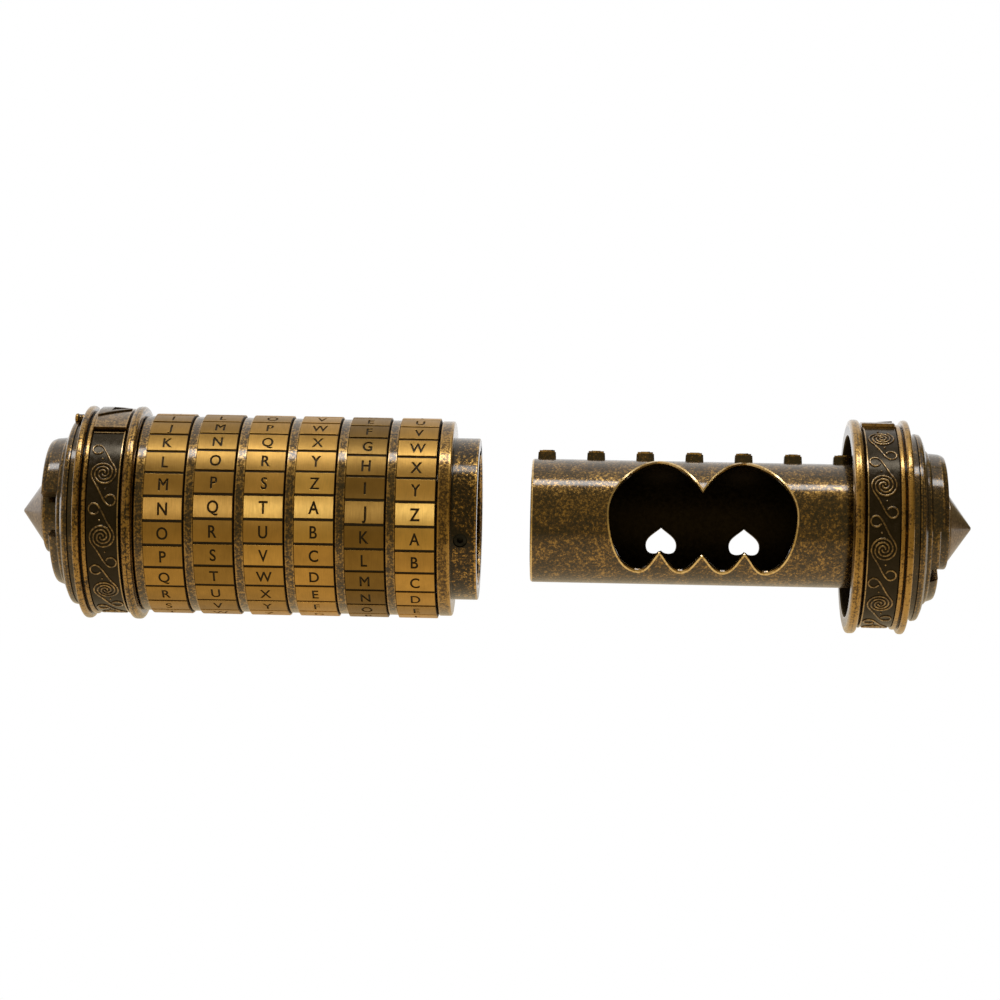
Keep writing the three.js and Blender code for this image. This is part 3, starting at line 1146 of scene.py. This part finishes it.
# ================================================================ sleeve and collar
def build_sleeve():
    half = math.degrees(SLOT_W / 2 / SLEEVE_R)
    corners = [
        (SLEEVE_START, SLEEVE_BORE_R, 0.1),
        (SLEEVE_START, SLEEVE_R, 0.1),
        (SLEEVE_END, SLEEVE_R, 0.15),
        (SLEEVE_END, SLEEVE_BORE_R, 0.15),
    ]
    finish_piece(
        lathe(rounded(corners), steps=150, start=LUG_ANGLE + half, sweep=360 - 2 * half),
        "sleeve_tube",
        [COLLAR],
        "barrel",
        ["slotted_sleeve"],
    )


SCREW_OFFSET = 5.2  # from the collar's first edge
SCREW_R = 1.5
SCREW_TOP_R = 18.55
SOCKET_R = 0.82


def build_collar():
    shoulder = COLLAR_START + COLLAR_FLANGE_W
    corners = [
        (COLLAR_START, BARREL_BORE_R, 0.1),
        (COLLAR_START, FLANGE_R, 0.25),
        (shoulder, FLANGE_R, 0.55),
        (shoulder, COLLAR_R, 0.2),
        (COLLAR_END, COLLAR_R, 0.35),
        (COLLAR_END, BARREL_BORE_R, 0.35),
    ]
    body = lathe(rounded(corners), steps=224)
    low, high = COLLAR_START - 2, COLLAR_END + 2
    keyway = block_tool(low, high, CUT_FROM_R, 17.3, SLOT_W, LUG_ANGLE)
    x = COLLAR_START + SCREW_OFFSET
    hole = rod_tool(x, CUT_FROM_R, 21, SCREW_R + 0.12, SCREW_ANGLE)
    bm = bmesh.new()
    add_mesh(bm, cut(body, [keyway, hole]))
    for face in bm.faces:
        if face.calc_center_median().x / MM < shoulder + 0.05:
            face.material_index = 1
    finish_piece(
        mesh_from(bm),
        "end_collar_casting",
        [COLLAR, RIM],
        "barrel",
        ["end_collar"],
    )
    shank = rod_tool(x, BARREL_BORE_R, SCREW_TOP_R, SCREW_R, SCREW_ANGLE)
    socket = rod_tool(x, 17.1, 20, SOCKET_R, SCREW_ANGLE, sides=6)
    bm = bmesh.new()
    add_mesh(bm, cut(shank, [socket]))
    bmesh.ops.bevel(
        bm,
        geom=[e for e in bm.edges if e.calc_face_angle(0) > 1.2],
        offset=0.09 * MM,
        segments=2,
        affect="EDGES",
    )
    finish_piece(
        mesh_from(bm),
        "socket_screw",
        [STEEL],
        "barrel",
        ["collar_grub_screw"],
    )


# ================================================================ vault tube
WINDOW_X = RIGHT_SKIRT - 33.9
LOWER_NOTCH = -31.0
SEAM_ANGLE = -75


def window_outline():
    """Half of the double-heart window, as (along the axis, angle), from the upper notch
    out over one heart and back under it to the lower notch."""
    return bezier(
        (0, 29.5),
        ((2.7, 50.0), (7.3, 74.5), (10.1, 86.0)),
        ((15.2, 57.5), (21.6, 34.0), (21.6, 9.0)),
        ((21.6, -22.0), (17.8, -52.0), (14.6, -52.0)),
        ((12.7, -52.0), (10.9, -28.5), (9.85, -28.5)),
        ((8.8, -28.5), (7.0, -52.0), (4.9, -52.0)),
        ((2.8, -52.0), (1.1, LOWER_NOTCH), (0, LOWER_NOTCH)),
    )


def small_heart():
    half = bezier(
        (0, 3.55),
        ((1.5, 2.1), (3.6, 1.2), (3.6, -0.9)),
        ((3.6, -2.6), (2.9, -3.5), (1.8, -3.5)),
        ((0.9, -3.5), (0.2, -3.0), (0, -2.3)),
        steps=8,
    )
    return half + [(-a, u) for a, u in reversed(half[1:])]


HEART_SPACING = 9.9
SMALL_HEART_SHIFT = 0.9
TUBE_EDGE = 0.52


def build_tube():
    middle = SEAM_ANGLE + 180
    arc = math.radians(1) * TUBE_R  # millimetres round the tube for each degree

    def flat(x, angle):
        return (x - TUBE_START, (angle - middle) * arc)

    half = window_outline()
    right = [flat(WINDOW_X + a, angle) for a, angle in half]
    left = [flat(WINDOW_X - a, angle) for a, angle in reversed(half[1:])]
    window = right + [flat(WINDOW_X, LOWER_NOTCH)] + left
    eyes = []
    for sign in (-1, 1):
        x = WINDOW_X + sign * HEART_SPACING + SMALL_HEART_SHIFT
        centre = flat(x, SMALL_HEART_ANGLE)
        # On the far wall the way round goes down, so the heart is drawn tip down.
        eyes.append([(centre[0] + a, centre[1] - u) for a, u in small_heart()])
    length = TUBE_END - TUBE_START
    border = [
        (0, -180 * arc),
        (length, -180 * arc),
        (length, 180 * arc),
        (0, 180 * arc),
    ]
    bm = flat_outline([border, window, *eyes], TUBE_WALL, TUBE_EDGE)
    # The long sides close on each other at the seam, so they lose their bevel.
    for vert in bm.verts:
        if abs(vert.co.y) > 180 * arc - TUBE_EDGE - 0.02:
            vert.co.y = math.copysign(180 * arc, vert.co.y)
    # The outer bevel of a window is rubbed bright and carries a painted highlight, and the cut
    # wall below it is dark.
    for face in bm.faces:
        normal = face.normal
        centre = face.calc_center_median()
        side = abs(normal.z) < 0.95
        if side and abs(centre.y) > 180 * arc - 0.01:
            face.material_index = 3
        elif side and centre.z > -TUBE_EDGE:
            face.material_index = 1
        elif centre.z < -TUBE_WALL + TUBE_EDGE:
            face.material_index = 2
        else:
            face.material_index = 0
    bmesh.ops.delete(
        bm,
        geom=[f for f in bm.faces if f.material_index == 3],
        context="FACES_ONLY",
    )
    wrap(bm, TUBE_START, TUBE_R, middle)
    bmesh.ops.remove_doubles(bm, verts=bm.verts, dist=0.02 * MM)
    finish_piece(
        mesh_from(bm),
        "windowed_tube",
        [CAST, RUBBED_EDGE_WITH_HIGHLIGHT, INSIDE],
        "vault",
        ["vault_tube"],
        sharp=12,
    )


LUG_EDGE = 0.5
LUG_ROOT_R = TUBE_R - 0.35


def build_lug(number):
    """A cast key block with rounded corners, a rubbed top that also carries a painted highlight,
    sides darkened as painted shade, and a small foot.
    """
    low, high = span(f"vault_lug_{number}")
    bm = bmesh.new()
    bmesh.ops.create_cube(bm, size=MM)
    rise = LUG_TOP_R - LUG_ROOT_R
    bm.transform(Matrix.Diagonal((high - low, LUG_WIDTH, rise, 1)))
    upright = [e for e in bm.edges if abs(e.verts[0].co.z - e.verts[1].co.z) > MM]
    bmesh.ops.bevel(bm, geom=upright, offset=0.5 * MM, segments=4, affect="EDGES")
    top = [e for e in bm.edges if min(v.co.z for v in e.verts) > 0 and e.calc_face_angle(0) > 1]
    bmesh.ops.bevel(bm, geom=top, offset=LUG_EDGE * MM, segments=4, affect="EDGES")
    # The rub and a painted highlight stay on the top edge, and the sides below it are darkened as
    # painted shade.
    shoulder = (rise / 2 - LUG_EDGE) * MM
    bmesh.ops.bisect_plane(
        bm,
        geom=bm.verts[:] + bm.edges[:] + bm.faces[:],
        plane_co=(0, 0, shoulder - 0.15 * MM),
        plane_no=(0, 0, 1),
    )
    layer = bm.verts.layers.float.new("wear")
    for vert in bm.verts:
        vert[layer] = 0.95 if vert.co.z > shoulder - 0.05 * MM else 0.15
        if vert.co.z < 0:
            vert.co.x *= 1.05
            vert.co.y *= 1.05
    middle = (LUG_TOP_R + LUG_ROOT_R) / 2
    bm.transform(radial_frame((low + high) / 2, middle, LUG_ANGLE))
    finish_piece(
        mesh_from(bm),
        f"key_block_{number}",
        [CAST],
        "vault",
        [f"vault_lug_{number}"],
        sharp=40,
    )


# ================================================================ stage, light, camera
CAMERA_DISTANCE = 700.0
SENSOR = 36.0
CAMERA_X = 1.1
CAMERA_RISE = 4.6
CAMERA_ROLL = -1.1
CAMERA_YAW = 1.9
FIELD = 235.4  # millimetres across the picture at the axis


def build_camera():
    data = bpy.data.cameras.new("camera")
    data.sensor_width = SENSOR
    data.lens = SENSOR * CAMERA_DISTANCE / FIELD
    data.clip_start = 0.01
    data.clip_end = 20.0
    camera = add_object("camera", data)
    upright = Matrix.Rotation(math.radians(90), 4, "X")
    roll = Matrix.Rotation(math.radians(CAMERA_ROLL), 4, "Y")
    turn = Matrix.Rotation(math.radians(CAMERA_YAW), 4, "Z")
    back = Matrix.Translation(Vector((0, -CAMERA_DISTANCE, 0)) * MM)
    aim = Matrix.Translation(Vector((CAMERA_X, 0, AXIS_Z + CAMERA_RISE)) * MM)
    camera.matrix_world = aim @ turn @ back @ roll @ upright
    bpy.context.scene.camera = camera


# Each stop is a place in front (-) or behind (+), in metres, and the light given there.
FLOOR_LIGHT = [
    (-0.5, (0.32, 0.25, 0.12)),
    (-0.07, (0.34, 0.26, 0.11)),
    (-0.02, (0.70, 0.56, 0.33)),
    (0.05, (0.62, 0.54, 0.42)),
    (0.5, (0.75, 0.75, 0.75)),
]
# Each stop is a height in metres up the wall, and the light given there.
WALL_LIGHT = [
    (0.0, (1.0, 1.0, 1.0)),
    (0.25, (0.9, 0.9, 0.9)),
    (0.6, (0.80, 0.76, 0.70)),
    (1.5, (0.74, 0.68, 0.59)),
    (3.0, (0.60, 0.54, 0.45)),
]
# Each stop is a direction, from -1 at the left to 1 at the right, and its light.
ROOM_LIGHT = [
    (-1.0, (0.42, 0.34, 0.22)),
    (0.0, (0.33, 0.255, 0.105)),
    (0.5, (0.23, 0.18, 0.085)),
    (1.0, (0.10, 0.075, 0.04)),
]


def spread_light(nodes, links, value, stops):
    """The light for a value, from stops that each hold a value and a colour."""
    near, far = stops[0][0], stops[-1][0]
    reach = math_node(nodes, links, "SUBTRACT", value, near)
    reach = math_node(nodes, links, "DIVIDE", reach, far - near, clamp=True)
    return ramp(nodes, links, reach, [((v - near) / (far - near), c) for v, c in stops])


def glow(name, stops, way):
    """A surface seen as pure white that gives the object a softer, warmer light."""
    material, nodes, links = new_material(name)
    nodes.remove(nodes["Principled BSDF"])
    shader = nodes.new("ShaderNodeEmission")
    place = nodes.new("ShaderNodeNewGeometry").outputs["Position"]
    apart = nodes.new("ShaderNodeSeparateXYZ")
    links.new(place, apart.inputs["Vector"])
    lit = spread_light(nodes, links, apart.outputs[way], stops)
    path = nodes.new("ShaderNodeLightPath")
    seen = mix(nodes, links, path.outputs["Is Camera Ray"], lit, (1.0, 1.0, 1.0))
    links.new(seen, shader.inputs["Color"])
    links.new(shader.outputs["Emission"], nodes["Material Output"].inputs["Surface"])
    return material


def stage_plane(name, corners, material):
    bm = bmesh.new()
    bm.faces.new([bm.verts.new(Vector(c) * MM) for c in corners])
    mesh = bpy.data.meshes.new(name)
    bm.to_mesh(mesh)
    bm.free()
    mesh.materials.append(material)
    add_object(name, mesh)


def build_stage():
    wide = 3000
    drop = -0.6
    back = 900
    floor = [(-wide, -wide, drop), (wide, -wide, drop), (wide, back, drop), (-wide, back, drop)]
    side = 600
    wall = [(-wide, back, drop), (side, back, drop), (side, back, wide), (-wide, back, wide)]
    stage_plane("pale_floor", floor, glow("pale_floor", FLOOR_LIGHT, "Y"))
    stage_plane("pale_wall", wall, glow("pale_wall", WALL_LIGHT, "Z"))
    world = bpy.data.worlds.new("world")
    world.use_nodes = True
    nodes, links = world.node_tree.nodes, world.node_tree.links
    way = nodes.new("ShaderNodeTexCoord").outputs["Generated"]
    apart = nodes.new("ShaderNodeSeparateXYZ")
    links.new(way, apart.inputs["Vector"])
    room = spread_light(nodes, links, apart.outputs["X"], ROOM_LIGHT)
    path = nodes.new("ShaderNodeLightPath")
    background = nodes["Background"]
    seen = mix(nodes, links, path.outputs["Is Camera Ray"], room, (1.0, 1.0, 1.0))
    links.new(seen, background.inputs["Color"])
    background.inputs["Strength"].default_value = 1.0
    bpy.context.scene.world = world


def soft_light(name, elevation, x, distance, width, height, radiance):
    """A rectangular light that faces the axis at a place along it."""
    data = bpy.data.lights.new(name, "AREA")
    data.shape = "RECTANGLE"
    data.size = width * MM
    data.size_y = height * MM
    data.energy = radiance * math.pi * width * height * MM**2
    light = add_object(name, data)
    e = math.radians(elevation)
    way = Vector((0, -math.cos(e), math.sin(e)))
    target = Vector((x, 0, AXIS_Z))
    light.location = (target + way * distance) * MM
    light.rotation_euler = way.to_track_quat("Z", "Y").to_euler()
    return light


def build_lights():
    soft_light("overhead_softbox", 75.5, 0, 700, width=800, height=132, radiance=6.2)
    soft_light("ceiling_bounce", 97, 0, 1500, width=1600, height=600, radiance=0.36)
    # The front light is flagged off the castings, so it reaches the panels alone.
    front = soft_light("front_softbox", 8, -95, 900, width=270, height=120, radiance=4.0)
    panels = bpy.data.collections.new("front_lit")
    for made in bpy.data.objects:
        if made.name.startswith("letter_panels"):
            panels.objects.link(made)
    front.light_linking.receiver_collection = panels


# ================================================================ assembly
def build_all():
    left = Side("left", LEFT_SKIRT, -1, LEFT_INDEX, "barrel", SLEEVE_R + 0.3, DARK_RIM)
    right = Side("right", RIGHT_SKIRT, 1, RIGHT_INDEX, "vault", TUBE_R + 0.3, RIM)
    for side, first_spiral in ((left, LEFT_SPIRAL), (right, RIGHT_SPIRAL)):
        build_cap(side)
        build_cone(side)
        build_strip(side)
        build_scrolls(side, first_spiral)
        build_plate(side)
    build_pin(left)
    plates = letter_plates()
    for number in range(RING_COUNT):
        build_letter_ring(number, plates)
        build_code_ring(number)
    for plate in plates.values():
        plate.free()
    build_sleeve()
    build_collar()
    build_tube()
    for number in range(1, 8):
        build_lug(number)


build_camera()
build_stage()
build_all()
build_lights()
bpy.context.scene.view_settings.view_transform = "Standard"
